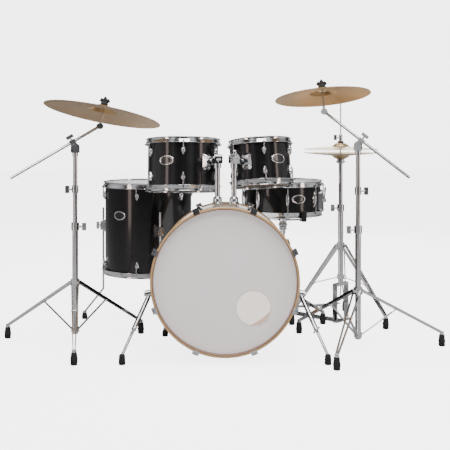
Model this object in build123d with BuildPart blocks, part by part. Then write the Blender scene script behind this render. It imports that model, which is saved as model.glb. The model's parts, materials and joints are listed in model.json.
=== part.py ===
from build123d import *
from dataclasses import dataclass
from math import cos, radians, sin
import os

# Acoustic drum kit: bass drum, two mounted toms, floor tom, snare drum, hi-hat and two boom stands.
# Millimetres. +X is the player's left, +Y points from the audience to the player, +Z is up.
# The origin is on the floor, in the middle of the ground that the kit covers.

# ---- Where the kit stands: every place below is measured from the bass drum's front face ----
kit_x = 17.5
kit_y = -483.5

# ---- Shells ----
shell_wall = 7.5
bearing_round = 1.0
bearing_crest = 2.5
gasket = 0.1

bass_radius = 279.4
bass_depth = 457.2
bass_lift = 27.0
bass_lean = 2.3
tom_left_radius = 152.4
tom_left_depth = 203.2
tom_right_radius = 127.0
tom_right_depth = 177.8
floor_tom_radius = 203.2
floor_tom_depth = 406.4
snare_radius = 177.8
snare_depth = 139.7

# ---- Heads: film, collar and the aluminium ring that the hoop pulls down ----
film = 0.8
collar_gap = 0.8
ring_width = 6.5
ring_depth = 7.0
port_radius = 68.0
port_x = 112.0
port_y = -104.0

# ---- Pressed steel hoops: three flanges, measured from the shell's outside and from its edge ----
hoop_sheet = 2.2
hoop_seat = -1.2
hoop_inside = 2.4
hoop_skirt = 7.0
hoop_top = 13.0
hoop_bottom = -13.0
hoop_flange = 16.0
ear_radius = 7.5

# ---- Wooden bass hoops ----
wood_inside = 2.0
wood_outside = 13.6
wood_seat = -8.0
wood_face = 30.6
wood_chamfer = 2.0
claw_width = 26.0
claw_sheet = 2.5
claw_gap = 0.3
claw_hook = 7.0
claw_boss = 16.0
claw_back = -10.0

bass_front_height = bass_radius + wood_outside + bass_lift

# ---- Tension rods and lugs ----
rod_radius = 3.0
rod_clearance = 0.1
rod_flange_radius = 5.0
rod_flange = 1.5
rod_square = 5.5
rod_head = 7.0
steel_rod_offset = 14.5
wood_rod_offset = 22.6
steel_rod_seat = hoop_bottom + hoop_sheet
wood_rod_seat = 6.0
lug_width = 23.0
lug_length = 38.0
lug_start = 32.0
lug_shrink = 0.62
snare_lug_width = 19.0
snare_lug_length = 78.0
bass_lug_start = 62.0

# ---- Tubes, pins and the gaps that let them move ----
tube_radius = 9.5
column_bore = tube_radius + 1.7
column_radius = column_bore + 1.5
collar_radius = column_radius + 4.3
collar_height = 34.0
run_gap = 0.05
free_gap = 0.3
pin_radius = 5.0
pin_eye = 9.0
knuckle_radius = pin_radius + pin_eye
knuckle_width = 20.0
fork_radius = knuckle_radius + 1.0
fork_cheek = 7.0

# ---- Bass drum fittings ----
post_radius = 11.1
post_spacing = 68.0
post_centre_x = 3.0
post_setback = 200.0
post_inside = 90.0
post_top = 445.0
saddle_width = 107.0
saddle_length = 60.0
saddle_height = 19.0
socket_radius = post_radius + 7.9
socket_top = 46.0
spur_angle = -11.0
spur_setback = 125.0
spur_foot_x = 401.0
spur_foot_y = 0.0
spur_hub_radius = pin_radius + pin_eye
spur_hub_width = 2 * tube_radius + 3.0
spur_boss_radius = spur_hub_radius + 4.0
spur_boss_height = 24.0
spur_rod_radius = 6.0
spur_foot_radius = 13.0
spur_foot_height = 36.0

# ---- Stands ----
foot_radius = 14.0
foot_height = 50.0
ferrule_radius = 9.0
ferrule_height = 12.0
leg_spread = 15.0
leg_width = 12.0
leg_sheet = 5.0
strut_width = 10.0
strut_sheet = 4.0

# ---- Cymbals ----
cymbal_hole = 7.0
cymbal_sheet = 1.3
cymbal_neck = cymbal_hole - 0.6
bow_share = 0.58
shoulder_share = 0.62
crown_share = 0.76
tilter_rod = 4.0
felt_radius = 16.0
felt_height = 7.0
felt_gap = 1.8
felt_crown = 3.0


def spot(x, y, z):
    """Point in the kit, measured from the middle of the bass drum's front face, on the floor."""
    return Vector(x + kit_x, y + kit_y, z)


@dataclass
class Drum:
    """A drum from its bottom edge, at base, to its top edge, along the base plane's Z axis."""
    name: str
    radius: float
    depth: float
    base: Plane
    lugs: int
    first_lug: float
    rod_offset: float = steel_rod_offset
    rod_seat: float = steel_rod_seat
    ring_seat: float = hoop_seat

    def ends(self):
        """Each end's plane, facing out of the drum, with the direction in which its lugs are counted."""
        top = self.base.offset(self.depth)
        bottom = Plane(self.base.origin, x_dir=self.base.x_dir, z_dir=-self.base.z_dir)
        return (top, 1), (bottom, -1)

    def rods(self):
        """The end plane and angle of every tension rod."""
        step = 360 / self.lugs
        turns = [self.first_lug + n * step for n in range(self.lugs)]
        return [(end, way * turned) for end, way in self.ends() for turned in turns]


def outward(end, angle):
    """Unit direction away from an axis at an angle in the end's plane."""
    return end.x_dir * cos(radians(angle)) + end.y_dir * sin(radians(angle))


def beside(end, angle, radius, height):
    """Point at a radius and an angle round an axis, at a height above the end's plane."""
    return end.origin + outward(end, angle) * radius + end.z_dir * height


def wall_plane(end, angle, radius, height):
    """Plane on a drum's side: Y runs towards the end, Z points away from the drum's axis."""
    out = outward(end, angle)
    return Plane(beside(end, angle, radius, height), x_dir=end.z_dir.cross(out), z_dir=out)


def slice_plane(end, angle):
    """Plane through a drum's axis: X is the radius and Y the height above the end."""
    out = outward(end, angle)
    return Plane(end.origin, x_dir=out, z_dir=out.cross(end.z_dir))


def turn(plane, *outline, mode=Mode.ADD):
    """Revolve an outline of (radius, height) points about a plane's Z axis."""
    with BuildSketch(slice_plane(plane, 0)) as section:
        with BuildLine():
            Polyline(*outline, close=True)
        make_face()
    revolve(section.sketch, axis=Axis(plane.origin, plane.z_dir), mode=mode)


def rod(start, end, radius, mode=Mode.ADD):
    """Round bar between two points."""
    along = end - start
    with BuildSketch(Plane(origin=start, z_dir=along)) as section:
        Circle(radius)
    extrude(section.sketch, amount=along.length, mode=mode)


def bar(start, end, width, thickness, side):
    """Rectangular bar between two points, with its width in the direction of side."""
    along = (end - start).normalized()
    across = side - along * side.dot(along)
    with BuildSketch(Plane(origin=start, x_dir=across, z_dir=along)) as section:
        Rectangle(width, thickness)
    extrude(section.sketch, amount=(end - start).length)


def save(piece, name):
    """Label a finished piece and write its STEP file."""
    piece.part.label = name
    export_step(piece.part, f"parts/{name}.step")


os.makedirs("parts", exist_ok=True)


# ---- Drums ----

def make_shell(drum, holes=(), hole_radius=0.0):
    """Ply tube with 45 degree bearing edges; each hole is a plane on its wall."""
    r = drum.radius
    inner = r - shell_wall
    cut = shell_wall - bearing_crest
    with BuildPart() as shell:
        turn(
            drum.base,
            (r, bearing_round),
            (r, drum.depth - bearing_round),
            (r - bearing_round, drum.depth),
            (r - bearing_crest, drum.depth),
            (inner, drum.depth - cut),
            (inner, cut),
            (r - bearing_crest, 0),
            (r - bearing_round, 0),
        )
        for hole in holes:
            with BuildSketch(hole.offset(-2 * shell_wall)):
                Circle(hole_radius)
            extrude(amount=3 * shell_wall, mode=Mode.SUBTRACT)
    save(shell, f"{drum.name}_shell")


def head_outline(drum):
    """Half section of a head: flat film, collar down the shell's side and the ring that holds it."""
    bend = drum.radius + collar_gap
    ring_top = drum.ring_seat
    ring_bottom = ring_top - ring_depth
    ring_outside = drum.radius + ring_width
    return (
        (0, 0), (bend, 0), (bend, ring_bottom), (ring_outside, ring_bottom),
        (ring_outside, ring_top), (bend + film, ring_top), (bend + film, film), (0, film),
    )


def make_heads(drum):
    with BuildPart() as heads:
        for end, _ in drum.ends():
            turn(end, *head_outline(drum))
    save(heads, f"{drum.name}_heads")


def make_steel_hoops(drum):
    """Triple-flanged hoops with a drilled ear for each tension rod."""
    r = drum.radius
    rod_ring = r + drum.rod_offset
    with BuildPart() as hoops:
        for end, _ in drum.ends():
            turn(
                end,
                (r + hoop_inside, hoop_seat),
                (r + hoop_skirt, hoop_seat),
                (r + hoop_skirt, hoop_bottom),
                (r + hoop_flange, hoop_bottom),
                (r + hoop_flange, hoop_bottom + hoop_sheet),
                (r + hoop_skirt + hoop_sheet, hoop_bottom + hoop_sheet),
                (r + hoop_skirt + hoop_sheet, hoop_seat + hoop_sheet),
                (r + hoop_inside + hoop_sheet, hoop_seat + hoop_sheet),
                (r + hoop_inside + hoop_sheet, hoop_top - hoop_sheet),
                (r + hoop_skirt + hoop_sheet, hoop_top - hoop_sheet),
                (r + hoop_skirt + hoop_sheet, hoop_top),
                (r + hoop_inside, hoop_top),
            )
        for end, angle in drum.rods():
            ear_bottom = beside(end, angle, rod_ring, hoop_bottom)
            rod(ear_bottom, ear_bottom + end.z_dir * hoop_sheet, ear_radius)
        for end, angle in drum.rods():
            below = beside(end, angle, rod_ring, hoop_bottom - hoop_sheet)
            rod(below, below + end.z_dir * 3 * hoop_sheet, rod_radius + rod_clearance, Mode.SUBTRACT)
    save(hoops, f"{drum.name}_hoops")


def lug_shape(kind, scale):
    """Outline of a lug's casing: a teardrop rounded towards the hoop, or a long lens on the snare drum."""
    if kind == "lens":
        half = snare_lug_length / 2 * scale
        side = snare_lug_width / 2 * scale
        with BuildLine() as outline:
            ThreePointArc((0, half), (side, 0), (0, -half))
            ThreePointArc((0, -half), (-side, 0), (0, half))
    else:
        side = lug_width / 2 * scale
        tail = (lug_length - lug_width / 2) * scale
        tip = side / 8
        with BuildLine() as outline:
            ThreePointArc((-side, 0), (0, side), (side, 0))
            Polyline((side, 0), (tip, -tail), (-tip, -tail), (-side, 0))
    make_face(outline.edges())


def make_lugs(drum, kind, start):
    """Cast lug casings on the shell, bored for the rods; start is the gap from the edge to the casing."""
    height = drum.rod_offset + lug_width / 3
    if kind == "lens":
        centre = -drum.depth / 2
        bore_length = snare_lug_length
        casings = drum.rods()[:drum.lugs]
    else:
        centre = -start - lug_width / 2
        bore_length = lug_length
        casings = drum.rods()
    with BuildPart() as lugs:
        for end, angle in casings:
            seat = wall_plane(end, angle, drum.radius - 1.5, centre)
            with BuildSketch(seat):
                lug_shape(kind, 1)
            with BuildSketch(seat.offset(height)):
                lug_shape(kind, lug_shrink)
            loft()
        for end, angle in drum.rods():
            mouth = beside(end, angle, drum.radius + drum.rod_offset, centre + bore_length)
            rod(mouth, mouth - end.z_dir * (1.6 * bore_length), rod_radius + rod_clearance, Mode.SUBTRACT)
        with Locations(drum.base.location):
            Cylinder(drum.radius + gasket, drum.depth, align=(Align.CENTER, Align.CENTER, Align.MIN),
                     mode=Mode.SUBTRACT)
    save(lugs, f"{drum.name}_lugs")


def make_rods(drum, reach):
    """Key rods: shaft, flanged collar and square head; reach is how far each goes past its seat."""
    with BuildPart() as rods:
        for end, angle in drum.rods():
            seat = beside(end, angle, drum.radius + drum.rod_offset, drum.rod_seat)
            up = end.z_dir
            rod(seat, seat - up * reach, rod_radius)
            rod(seat, seat + up * rod_flange, rod_flange_radius)
            bar(seat + up * rod_flange, seat + up * (rod_flange + rod_head), rod_square, rod_square,
                outward(end, angle))
    save(rods, f"{drum.name}_rods")


def make_drum(drum, kind="teardrop"):
    """A drum with steel hoops, as its separate pieces."""
    make_shell(drum)
    make_heads(drum)
    make_steel_hoops(drum)
    make_lugs(drum, kind, lug_start)
    inside_lug = drum.depth / 2 - 6 if kind == "lens" else lug_start + lug_length * 0.7
    make_rods(drum, inside_lug + drum.rod_seat)


# ---- Bass drum ----
bass_axis = Vector(0, -cos(radians(bass_lean)), sin(radians(bass_lean)))
bass_face = spot(0, 0, bass_front_height)
bass = Drum(
    "bass_drum", bass_radius, bass_depth,
    Plane(bass_face - bass_axis * (wood_face + bass_depth), x_dir=(1, 0, 0), z_dir=bass_axis),
    8, 22.5, wood_rod_offset, wood_rod_seat, wood_seat,
)
bass_front, bass_back = (end for end, _ in bass.ends())
bass_up = bass.base.y_dir
post_height = bass_depth + wood_face - post_setback
posts_x = {"left": post_centre_x - post_spacing / 2, "right": post_centre_x + post_spacing / 2}


def post_plane(side, radius):
    """Plane across a tom post, at a distance above the bass drum's axis."""
    foot = bass.base.from_local_coords(Vector(posts_x[side], radius, post_height))
    return Plane(foot, x_dir=(1, 0, 0), z_dir=bass_up)


make_shell(bass, [post_plane(side, bass_radius) for side in posts_x], post_radius + 1)
make_lugs(bass, "teardrop", bass_lug_start)
make_rods(bass, bass_lug_start + lug_length * 0.7 + wood_rod_seat)

with BuildPart() as front_head:
    turn(bass_front, *head_outline(bass))
    with BuildSketch(bass_front):
        with Locations((port_x, port_y)):
            Circle(port_radius)
    extrude(amount=film, mode=Mode.SUBTRACT)
save(front_head, "bass_drum_front_head")

with BuildPart() as batter_head:
    turn(bass_back, *head_outline(bass))
save(batter_head, "bass_drum_batter_head")

with BuildPart() as bass_hoops:
    for end, _ in bass.ends():
        inside = bass_radius + wood_inside
        outside = bass_radius + wood_outside
        turn(
            end,
            (inside, wood_seat),
            (outside - wood_chamfer, wood_seat),
            (outside, wood_seat + wood_chamfer),
            (outside, wood_face - wood_chamfer),
            (outside - wood_chamfer, wood_face),
            (inside + wood_chamfer, wood_face),
            (inside, wood_face - wood_chamfer),
        )
save(bass_hoops, "bass_drum_hoops")

with BuildPart() as claws:
    for end, angle in bass.rods():
        wood = bass_radius + wood_outside
        with BuildSketch(slice_plane(end, angle)):
            with BuildLine():
                Polyline(
                    (wood - claw_hook, wood_face),
                    (wood - claw_hook, wood_face + claw_sheet),
                    (wood + claw_gap + claw_sheet, wood_face + claw_sheet),
                    (wood + claw_gap + claw_sheet, wood_rod_seat),
                    (wood + claw_boss, wood_rod_seat),
                    (wood + claw_boss, claw_back),
                    (wood + claw_gap, claw_back),
                    (wood + claw_gap, wood_face),
                    close=True,
                )
            make_face()
        extrude(amount=claw_width / 2, both=True)
        behind = beside(end, angle, bass_radius + wood_rod_offset, claw_back)
        seat = behind + end.z_dir * (wood_rod_seat - claw_back)
        rod(behind, seat, rod_radius + rod_clearance, Mode.SUBTRACT)
save(claws, "bass_drum_claws")


# ---- Castings on the bass drum: the saddle for the tom posts and the two spur brackets ----
def spur_pivot(side):
    """Plane of a spur's pivot: on the shell, with Z along the pivot and out of the drum."""
    angle = spur_angle if side == "right" else 180 - spur_angle
    return wall_plane(bass_front, angle, bass_radius, wood_face - spur_setback)


saddle_spot = bass.base.from_local_coords(Vector(post_centre_x, bass_radius, post_height))
saddle = Plane(saddle_spot, x_dir=(1, 0, 0), z_dir=bass_up)
with BuildPart() as brackets:
    saddle_sink = 8
    with BuildSketch(saddle.offset(-saddle_sink)):
        RectangleRounded(saddle_width, saddle_length, 8)
    extrude(amount=saddle_sink + saddle_height)
    for side in posts_x:
        socket = post_plane(side, bass_radius + saddle_height)
        turn(socket, (0, 0), (socket_radius + 4, 0), (socket_radius, 8), (socket_radius, 20),
             (socket_radius - 3, socket_top - saddle_height), (0, socket_top - saddle_height))
    for side in posts_x:
        low = post_plane(side, bass_radius - 2 * saddle_sink)
        high = low.offset(socket_top + 3 * saddle_sink)
        rod(low.origin, high.origin, post_radius + run_gap, Mode.SUBTRACT)
    for side in ("left", "right"):
        pivot = spur_pivot(side)
        with BuildSketch(pivot.offset(-2)):
            RectangleRounded(50, 64, 10)
        with BuildSketch(pivot.offset(12)):
            RectangleRounded(38, 50, 10)
        loft()
        rod(pivot.origin, pivot.offset(spur_boss_height).origin, spur_boss_radius)
        pin_end = pivot.offset(spur_boss_height + spur_hub_width + 2 * free_gap)
        rod(pivot.origin, pin_end.origin, pin_radius)
        rod(pin_end.origin, pin_end.offset(6).origin, pin_radius + 4)
    with Locations(bass.base.location):
        Cylinder(bass_radius + gasket, bass_depth, align=(Align.CENTER, Align.CENTER, Align.MIN),
                 mode=Mode.SUBTRACT)
save(brackets, "bass_drum_brackets")

for side in ("left", "right"):
    with BuildPart() as spur:
        pivot = spur_pivot(side)
        hub = pivot.offset(spur_boss_height + free_gap)
        middle = hub.offset(spur_hub_width / 2).origin
        foot_x = spur_foot_x if side == "right" else -spur_foot_x
        tip = spot(foot_x, spur_foot_y, spur_foot_height)
        run = tip - middle
        root = middle + (run - pivot.z_dir * run.dot(pivot.z_dir)).normalized() * (spur_hub_radius - 2)
        slide_end = root + (tip - root) * 0.58
        wing = slide_end - (tip - root).normalized() * 6
        rod(root, slide_end, tube_radius)
        rod(slide_end, tip, spur_rod_radius)
        rod(wing, wing + Vector(0, -24, 0), 4)
        bar(wing + Vector(0, -16, 0), wing + Vector(0, -28, 0), 34, 5, Vector(1, 0, 1))
        rod(hub.origin, hub.offset(spur_hub_width).origin, spur_hub_radius)
        ground = Plane(origin=spot(foot_x, spur_foot_y, 0))
        turn(ground, (0, 0), (spur_foot_radius - 3, 0), (spur_foot_radius, 4),
             (spur_foot_radius - 2, spur_foot_height), (spur_rod_radius, spur_foot_height + 6),
             (0, spur_foot_height + 6))
        pin_end = hub.offset(spur_hub_width + 1)
        rod(hub.offset(-1).origin, pin_end.origin, pin_radius + run_gap, Mode.SUBTRACT)
    save(spur, f"spur_{side}")


# ---- Hinge pieces shared by the tom tilters, the boom clamps and the snare basket ----
def fork(centre, axle, up, foot_radius, foot_drop):
    """Two cheeks and a pin round a knuckle, on a round foot that reaches foot_drop below the centre."""
    inner = knuckle_width / 2 + free_gap
    step = knuckle_radius + 2
    for way in (-1, 1):
        cheek = centre + axle * (way * inner)
        rod(cheek, cheek + axle * (way * fork_cheek), fork_radius)
        middle = centre + axle * (way * (inner + fork_cheek / 2))
        bar(middle - up * (step + 8), middle, fork_cheek, 2 * fork_radius, axle)
    pin_half = inner + fork_cheek + 4
    rod(centre - axle * pin_half, centre + axle * pin_half, pin_radius)
    bar(centre - up * (step + 8), centre - up * step, 2 * (inner + fork_cheek), 2 * fork_radius, axle)
    rod(centre - up * foot_drop, centre - up * step, foot_radius)


def knuckle(centre, axle):
    """Round eye between the cheeks of a fork; its bore is cut by knuckle_bore when its arm is on."""
    half = axle * (knuckle_width / 2)
    rod(centre - half, centre + half, knuckle_radius)


def knuckle_bore(centre, axle):
    rod(centre - axle * knuckle_width, centre + axle * knuckle_width, pin_radius + run_gap, Mode.SUBTRACT)


# ---- Toms on the bass drum ----
tom_hinge_radius = post_top + 42
tom_arm_radius = 6.0
tom_bracket_height = 34.0


def tom_plane(x, y, front_rim_height, radius, depth, lean, roll):
    """Plane of a leaning tom's bottom edge, from the height of the front of its upper rim."""
    frame = Plane(Location((0, 0, 0), (-lean, roll, 0)))
    front_rise = (radius + hoop_flange) * sin(radians(lean)) + hoop_top
    crest = spot(x, y, front_rim_height - front_rise)
    return Plane(crest - frame.z_dir * depth, x_dir=frame.x_dir, z_dir=frame.z_dir)


tom_left = Drum(
    "tom_left", tom_left_radius, tom_left_depth,
    tom_plane(-182.0, 425.0, 889.0, tom_left_radius, tom_left_depth, 6.0, 0.0), 6, -87.0,
)
tom_right = Drum(
    "tom_right", tom_right_radius, tom_right_depth,
    tom_plane(150.0, 400.0, 889.0, tom_right_radius, tom_right_depth, 8.0, -3.0), 6, -85.0,
)
tom_mount_angle = {"left": -46.0, "right": -121.0}
tom_mount_height = {"left": -92.0, "right": -88.0}

for side, drum in (("left", tom_left), ("right", tom_right)):
    make_drum(drum)
    top = drum.ends()[0][0]
    hinge = post_plane(side, tom_hinge_radius).origin
    seat = wall_plane(top, tom_mount_angle[side], drum.radius, tom_mount_height[side])
    eye = seat.offset(tom_bracket_height - 12).origin
    arm = eye - hinge
    axle = arm.cross(bass_up).normalized()
    with BuildPart() as post:
        rod(post_plane(side, bass_radius - post_inside).origin, hinge - bass_up * 28, post_radius)
        fork(hinge, axle, bass_up, post_radius + 4, 44)
    save(post, f"tom_post_{side}")
    with BuildPart() as mount:
        with BuildSketch(seat.offset(-3)):
            RectangleRounded(46, 74, 12)
        with BuildSketch(seat.offset(14)):
            RectangleRounded(32, 50, 10)
        loft()
        rod(seat.origin, seat.offset(tom_bracket_height).origin, 15)
        rod(hinge, eye, tom_arm_radius)
        knuckle(hinge, axle)
        knuckle_bore(hinge, axle)
        wing = seat.offset(tom_bracket_height - 0.5).origin
        rod(wing, wing + seat.z_dir * 10, 4)
        bar(wing + seat.z_dir * 8, wing + seat.z_dir * 20, 34, 5, seat.y_dir)
        with Locations(drum.base.location):
            Cylinder(drum.radius + gasket, drum.depth, align=(Align.CENTER, Align.CENTER, Align.MIN),
                     mode=Mode.SUBTRACT)
    save(mount, f"tom_{side}_mount")

# ---- Floor tom and its legs ----
floor_tom_bottom = 249.0
leg_rod_radius = 4.8
leg_offset = 22.0
leg_foot_reach = 320.0
leg_bend_height = 150.0
leg_top_height = 290.0
leg_angles = (-72.0, 48.0, 168.0)
floor_tom_base = Plane(origin=spot(-363.0, 790.0, floor_tom_bottom))
floor_tom = Drum("floor_tom", floor_tom_radius, floor_tom_depth, floor_tom_base, 6, -100.0)
make_drum(floor_tom)
floor_bottom = floor_tom.base
leg_foot_height = 30.0

with BuildPart() as leg_brackets:
    for angle in leg_angles:
        seat = wall_plane(floor_bottom, angle, floor_tom_radius, floor_tom_depth / 2)
        with BuildSketch(seat.offset(-2)):
            RectangleRounded(46, 64, 10)
        with BuildSketch(seat.offset(leg_offset + leg_rod_radius + 7)):
            RectangleRounded(26, 40, 8)
        loft()
        wing = seat.offset(leg_offset + leg_rod_radius + 6).origin
        rod(wing, wing + seat.z_dir * 12, 4)
        bar(wing + seat.z_dir * 10, wing + seat.z_dir * 24, 34, 5, seat.y_dir)
    for angle in leg_angles:
        low = beside(floor_bottom, angle, floor_tom_radius + leg_offset, floor_tom_depth / 2 - 50)
        rod(low, low + Vector(0, 0, 100), leg_rod_radius + run_gap, Mode.SUBTRACT)
    with Locations(floor_bottom.location):
        Cylinder(floor_tom_radius + gasket, floor_tom_depth, align=(Align.CENTER, Align.CENTER, Align.MIN),
                 mode=Mode.SUBTRACT)
save(leg_brackets, "floor_tom_leg_brackets")


def leg_bend(angle):
    return beside(floor_bottom, angle, floor_tom_radius + leg_offset, leg_bend_height - floor_tom_bottom)


def leg_foot(angle):
    """Middle of a floor tom foot's upper face."""
    return beside(floor_bottom, angle, leg_foot_reach, leg_foot_height - floor_tom_bottom)


with BuildPart() as floor_legs:
    for angle in leg_angles:
        bend = leg_bend(angle)
        high = beside(floor_bottom, angle, floor_tom_radius + leg_offset, leg_top_height)
        rod(bend, high, leg_rod_radius)
        rod(leg_foot(angle) + Vector(0, 0, 4), bend, leg_rod_radius)
        with Locations(bend):
            Sphere(leg_rod_radius)
        turn(Plane(origin=leg_foot(angle)), (0, 0), (ferrule_radius, 0), (ferrule_radius, 7), (0, 10))
save(floor_legs, "floor_tom_legs")


# ---- Tripods ----
def leg_end(centre, angle, reach):
    """Middle of a rubber foot's upper face."""
    return centre + Vector(cos(radians(angle)), sin(radians(angle)), 0) * reach + Vector(0, 0, foot_height)


def tripod(centre, angles, reach, collar, hub, brace):
    """Double-barred legs from a collar to the feet, with a strut from a lower hub to each leg."""
    for angle in angles:
        out = Vector(cos(radians(angle)), sin(radians(angle)), 0)
        side = Vector(-out.Y, out.X, 0)
        foot = leg_end(centre, angle, reach)
        top = centre + out * (collar_radius + 2) + Vector(0, 0, collar)
        meet = top + (foot - top) * brace
        ankle = foot + Vector(0, 0, ferrule_height - 4)
        for way in (-1, 1):
            bar(top + side * (way * leg_spread), ankle + side * (way * 4), leg_sheet, leg_width, side)
        rod(meet - side * leg_spread * 1.1, meet + side * leg_spread * 1.1, 3)
        bar(centre + out * (column_radius + 2) + Vector(0, 0, hub), meet, strut_width, strut_sheet, side)
        bar(top - out * 8, top + out * 4, 2 * leg_spread + leg_sheet, leg_width, side)
        rod(foot, foot + Vector(0, 0, ferrule_height), ferrule_radius)
    turn(Plane(origin=centre + Vector(0, 0, collar - 14)), (column_radius - 1, 0), (collar_radius + 2, 0),
         (collar_radius + 2, 28), (column_radius - 1, 28))
    turn(Plane(origin=centre + Vector(0, 0, hub - 10)), (column_radius - 1, 0), (collar_radius, 0),
         (collar_radius, 20), (column_radius - 1, 20))


def column(centre, bottom, top, wing_side):
    """Hollow tube with a clamp collar and wing bolt at its top, where the inner tube slides."""
    base = Plane(origin=centre)
    turn(
        base,
        (column_bore, bottom), (column_radius, bottom), (column_radius, top - collar_height),
        (collar_radius, top - collar_height + 4), (collar_radius, top), (tube_radius + run_gap, top),
        (tube_radius + run_gap, top - collar_height + 4), (column_bore, top - collar_height),
    )
    wing = centre + Vector(0, 0, top - collar_height / 2)
    rod(wing + wing_side * (collar_radius - 2), wing + wing_side * (collar_radius + 16), 4)
    bar(wing + wing_side * (collar_radius + 12), wing + wing_side * (collar_radius + 30), 32, 5,
        Vector(0, 0, 1))


# ---- Cymbals ----
def cymbal(frame, radius, bell_radius, bow, bell):
    """Thin bowed disc with a bell: the frame's origin is the middle of its edge, Z up through the bell."""
    foot = bow * 0.94
    rise = bow + bell
    middle = (radius + bell_radius) / 2
    sag = foot * bow_share
    shoulder = bell_radius * shoulder_share
    crown = foot + bell * crown_share
    with BuildSketch(slice_plane(frame, 0)) as section:
        with BuildLine():
            Line((radius, 0), (radius, cymbal_sheet))
            ThreePointArc((radius, cymbal_sheet), (middle, sag + cymbal_sheet),
                          (bell_radius, foot + cymbal_sheet))
            ThreePointArc((bell_radius, foot + cymbal_sheet), (shoulder, crown + cymbal_sheet),
                          (cymbal_hole, rise + cymbal_sheet))
            Line((cymbal_hole, rise + cymbal_sheet), (cymbal_hole, rise))
            ThreePointArc((cymbal_hole, rise), (shoulder, crown), (bell_radius, foot))
            ThreePointArc((bell_radius, foot), (middle, sag), (radius, 0))
        make_face()
    revolve(section.sketch, axis=Axis(frame.origin, frame.z_dir))


def felt_stack(frame, seat, top):
    """Rod, cup, two felts and a wing nut round a cymbal's bell; heights are on the cymbal's axis."""
    rod(frame.offset(seat - 24).origin, frame.offset(top + 36).origin, tilter_rod)
    turn(frame, (tilter_rod, seat - felt_height - 3), (felt_radius, seat - felt_height - 3),
         (felt_radius, seat - felt_height), (felt_radius - 2, seat - felt_crown), (felt_radius / 2, seat),
         (tilter_rod, seat))
    turn(frame, (tilter_rod, top), (felt_radius - 2, top), (felt_radius, top + felt_height),
         (tilter_rod, top + felt_height))
    turn(frame, (tilter_rod, top + felt_height), (8, top + felt_height), (6, top + felt_height + 12),
         (tilter_rod, top + felt_height + 14))
    wing = frame.offset(top + felt_height + 9).origin
    for way in (-1, 1):
        bar(wing + frame.x_dir * (way * 5), wing + frame.x_dir * (way * 17) + frame.z_dir * 10, 8, 4,
            frame.z_dir)


@dataclass
class Boom:
    """A cymbal stand: its column's foot, collar heights, boom and cymbal."""
    name: str
    foot: Vector
    leg_angles: tuple
    reach: float
    leg_collar: float
    hub: float
    column_top: float
    middle_top: float
    boom: Vector
    clamp_height: float
    lower: float
    upper: float
    wing_side: Vector
    cymbal_lift: float
    lean: float
    roll: float
    radius: float
    bell_radius: float
    bow: float
    bell: float


boom_radius = 6.35
boom_rise = 24.0
tilter_radius = 13.0
stands = (
    Boom("ride", spot(-636, 326, 0), (-81.6, 158.9, 39.6), 337, 266, 66, 519, 677,
         Vector(110, 51, 68), 864, 300, 138, Vector(-1, 0, 0), 50, 9.4, 10.0, 254, 62, 20, 22),
    Boom("crash", spot(555, 258, 0), (-110.9, 7.2, 127.9), 363, 242, 59, 513, 675,
         Vector(-150, 50, 121), 874, 250, 199, Vector(1, 0, 0), 62, 10.0, -4.4, 203, 54, 18, 20),
)

for stand in stands:
    along = stand.boom.normalized()
    flat = Vector(along.X, along.Y, 0).normalized()
    axle = Vector(0, 0, 1).cross(flat)
    over = axle.cross(along) * -1
    hinge = stand.foot + Vector(0, 0, stand.clamp_height - boom_rise)
    clamp = hinge + over * boom_rise
    tilter = clamp + along * stand.upper
    lean = Plane(Location((0, 0, 0), (-stand.lean, stand.roll, 0)))
    edge = Plane(tilter + lean.z_dir * stand.cymbal_lift, x_dir=lean.x_dir, z_dir=lean.z_dir)
    under_bell = stand.bow + stand.bell - felt_gap
    over_bell = stand.bow + stand.bell + cymbal_sheet + felt_gap

    with BuildPart() as base:
        column(stand.foot, stand.hub - 18, stand.column_top, stand.wing_side * -1)
        turn(Plane(origin=stand.foot), (column_bore - 3, stand.hub - 18), (column_radius, stand.hub - 18),
             (column_radius, stand.hub - 14), (column_bore - 3, stand.hub - 14))
        tripod(stand.foot, stand.leg_angles, stand.reach, stand.leg_collar, stand.hub, 0.42)
    save(base, f"{stand.name}_stand_base")

    with BuildPart() as tube:
        tube_end = hinge - Vector(0, 0, 26)
        rod(stand.foot + Vector(0, 0, stand.column_top - 190), tube_end, tube_radius)
        turn(Plane(origin=stand.foot), (tube_radius - 1, stand.middle_top - collar_height),
             (collar_radius - 3, stand.middle_top - collar_height + 3),
             (collar_radius - 3, stand.middle_top), (tube_radius - 1, stand.middle_top))
        wing = stand.foot + Vector(0, 0, stand.middle_top - collar_height / 2)
        side = stand.wing_side
        rod(wing + side * (tube_radius - 1), wing + side * (collar_radius + 12), 4)
        bar(wing + side * (collar_radius + 8), wing + side * (collar_radius + 26), 32, 5, Vector(0, 0, 1))
        fork(hinge, axle, Vector(0, 0, 1), tube_radius + 3, 40)
    save(tube, f"{stand.name}_stand_tube")

    with BuildPart() as boom:
        rod(clamp - along * stand.lower, tilter - along * 4, boom_radius)
        knuckle(hinge, axle)
        bar(hinge, clamp + over * 9, knuckle_width, knuckle_width + 4, axle)
        wing = clamp + over * 8
        rod(wing, wing + over * 12, 4)
        bar(wing + over * 10, wing + over * 24, 32, 5, along)
        knuckle_bore(hinge, axle)
        rod(tilter - axle * 10, tilter + axle * 10, tilter_radius)
        rod(tilter, edge.offset(under_bell - felt_height - 3).origin, 6)
        felt_stack(edge, under_bell, over_bell)
    save(boom, f"{stand.name}_boom")

    with BuildPart() as disc:
        cymbal(edge, stand.radius, stand.bell_radius, stand.bow, stand.bell)
    save(disc, f"{stand.name}_cymbal")


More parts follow.
